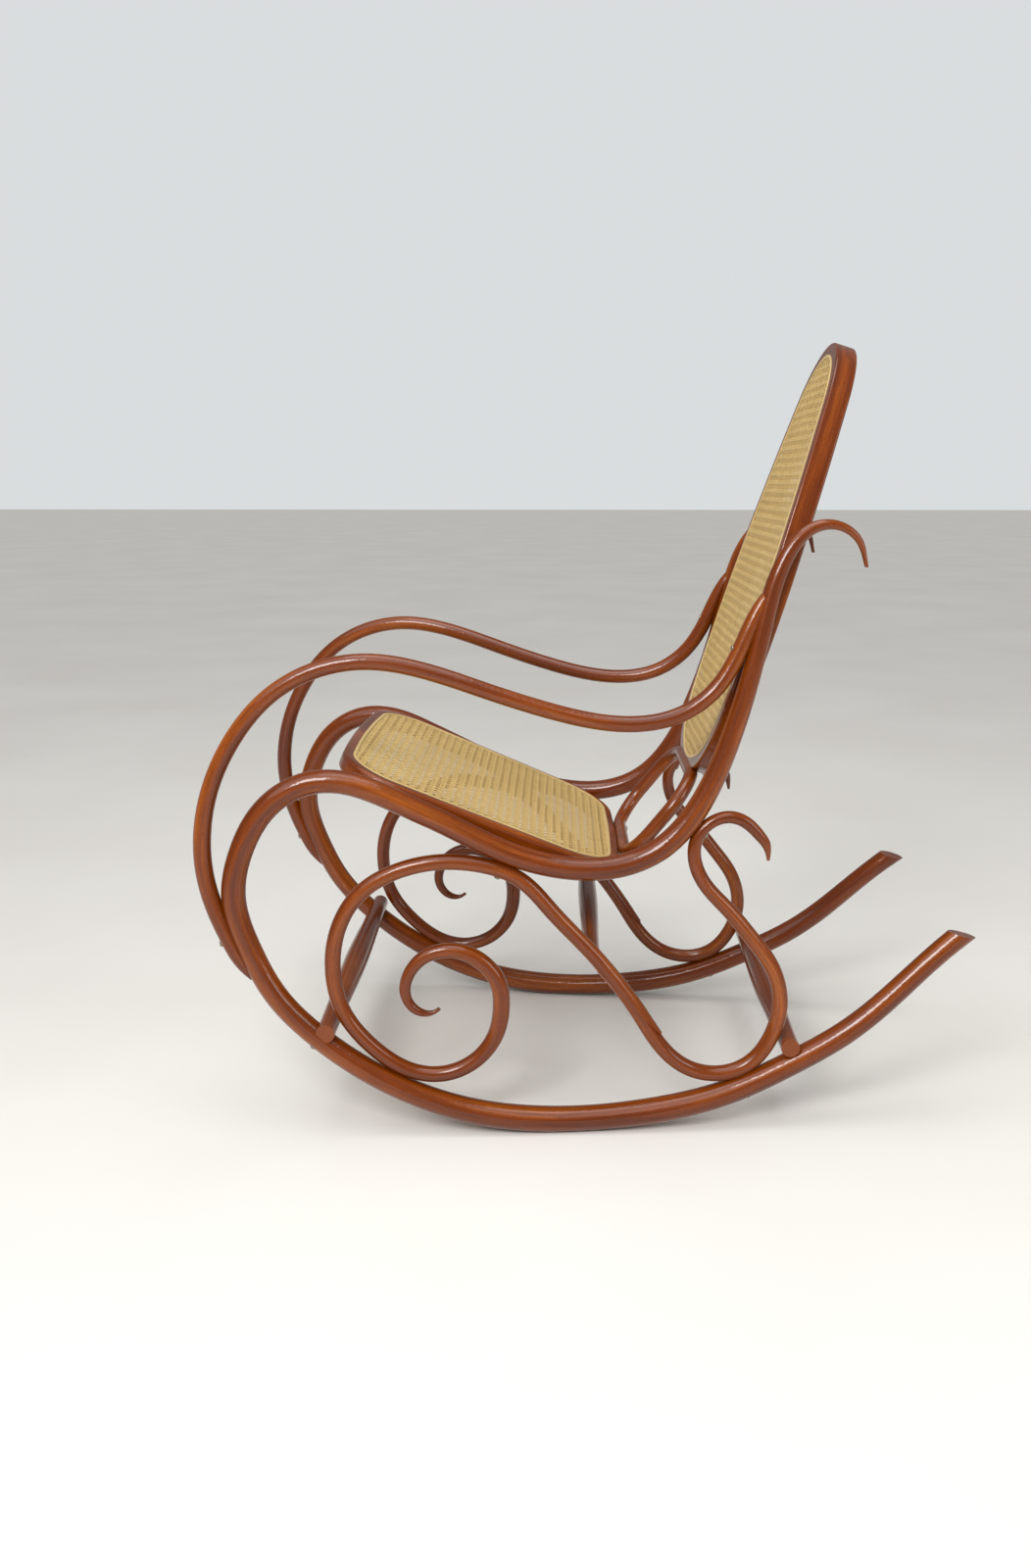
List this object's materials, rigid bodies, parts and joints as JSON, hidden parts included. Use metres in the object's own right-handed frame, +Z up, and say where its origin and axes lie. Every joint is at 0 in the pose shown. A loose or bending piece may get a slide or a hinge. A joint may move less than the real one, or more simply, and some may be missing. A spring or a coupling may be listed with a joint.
{
  "type": "rocking chair",
  "caption": "Bentwood rocking chair with looping scroll sides, caned seat and tall caned oval back, and curved armrests.",
  "frame": {"origin": "centre of the bounding box in X and Y, on the floor under the rockers", "axes": "+X across the chair towards the sitter's left, -Y towards the front, +Y towards the back, +Z up"},
  "size_m": [0.568, 1.0688, 1.0795],
  "materials": {
    "lacquered_beech": "gloss red-brown lacquer",
    "woven_cane": "woven natural cane, satin",
    "reed": "natural reed, satin",
    "screw_steel": "satin"
  },
  "bodies": {
    "root": {"left_side_rail": "lacquered_beech", "right_side_rail": "lacquered_beech", "left_armrest": "lacquered_beech", "right_armrest": "lacquered_beech", "left_front_scroll": "lacquered_beech", "right_front_scroll": "lacquered_beech", "left_rear_scroll": "lacquered_beech", "right_rear_scroll": "lacquered_beech", "front_stretcher": "lacquered_beech", "rear_stretcher": "lacquered_beech", "middle_stretcher": "lacquered_beech", "seat_frame": "lacquered_beech", "back_frame": "lacquered_beech", "back_hoop": "lacquered_beech", "seat_cane": "woven_cane", "back_cane": "woven_cane", "seat_cane_spline": "reed", "back_cane_spline": "reed", "arm_screws": "screw_steel", "scroll_screws": "screw_steel", "stretcher_screws": "screw_steel", "seat_frame_screws": "screw_steel", "back_frame_screws": "screw_steel", "hoop_screws": "screw_steel"}
  },
  "joints": []
}
